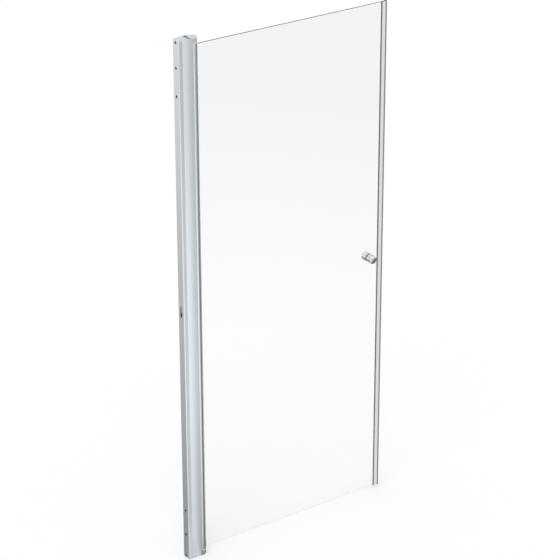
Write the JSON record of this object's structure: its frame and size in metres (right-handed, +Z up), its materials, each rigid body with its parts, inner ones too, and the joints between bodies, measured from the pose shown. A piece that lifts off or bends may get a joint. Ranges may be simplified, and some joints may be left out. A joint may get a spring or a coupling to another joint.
{
  "type": "shower door",
  "caption": "Frameless clear glass shower door that swings on a round pivot tube in an aluminium hinge post, with a knob through the pane and a magnetic seal on the free edge.",
  "frame": {"origin": "on the wall face of the wall profile, midway across it, at its lower end, which is the level of the shower tray", "axes": "+X from the wall to the free edge of the door, -Y to the room side, +Z up"},
  "size_m": [0.8831, 0.062, 2],
  "materials": {
    "anodised_aluminium": "satin anodised",
    "cast_block": "satin silver lacquer",
    "grey_plastic": "matt light grey",
    "steel": "stainless",
    "bearing_plastic": "natural acetal",
    "clear_glass": "clear toughened",
    "grey_gasket": "matt",
    "clear_seal": "clear extruded",
    "black_magnet": "matt black",
    "black_rubber": "matt black",
    "knob_chrome": "polished"
  },
  "bodies": {
    "wall_frame": {"wall_profile": "anodised_aluminium", "wall_cap_top": "grey_plastic", "wall_cap_bottom": "grey_plastic"},
    "post": {"hinge_post": "anodised_aluminium", "hinge_seal_front": "grey_gasket", "hinge_seal_rear": "grey_gasket", "clamp_screws": "steel", "clamp_nut_plates": "steel", "clamp_screw_covers": "grey_plastic", "pivot_block_top": "cast_block", "pivot_block_bottom": "cast_block", "pivot_block_screws": "steel", "pivot_cover_top": "cast_block", "pivot_pin_top": "steel", "pivot_pin_bottom": "steel", "pin_grub_screws": "steel"},
    "door": {"pivot_tube": "anodised_aluminium", "tube_plug_top": "bearing_plastic", "tube_plug_bottom": "bearing_plastic", "tube_plug_screws": "steel", "pivot_bush_top": "bearing_plastic", "pivot_bush_bottom": "bearing_plastic", "glass_panel": "clear_glass", "glazing_gasket_front": "grey_gasket", "glazing_gasket_rear": "grey_gasket", "glass_setting_blocks": "bearing_plastic", "seal_profile": "clear_seal", "seal_magnet": "black_magnet", "knob_front": "knob_chrome", "knob_rear": "knob_chrome", "knob_washers": "black_rubber", "knob_sleeve": "bearing_plastic", "knob_stud": "steel"}
  },
  "joints": [
    {"name": "post_adjust", "type": "slide", "parent": "wall_frame", "child": "post", "axis": [1, 0, 0], "range_m": [0, 0.015]},
    {"name": "door_swing", "type": "hinge", "parent": "post", "child": "door", "pos_m": [0.0645, 0, 1], "axis": [0, 0, 1], "range_deg": [-90, 90]}
  ]
}
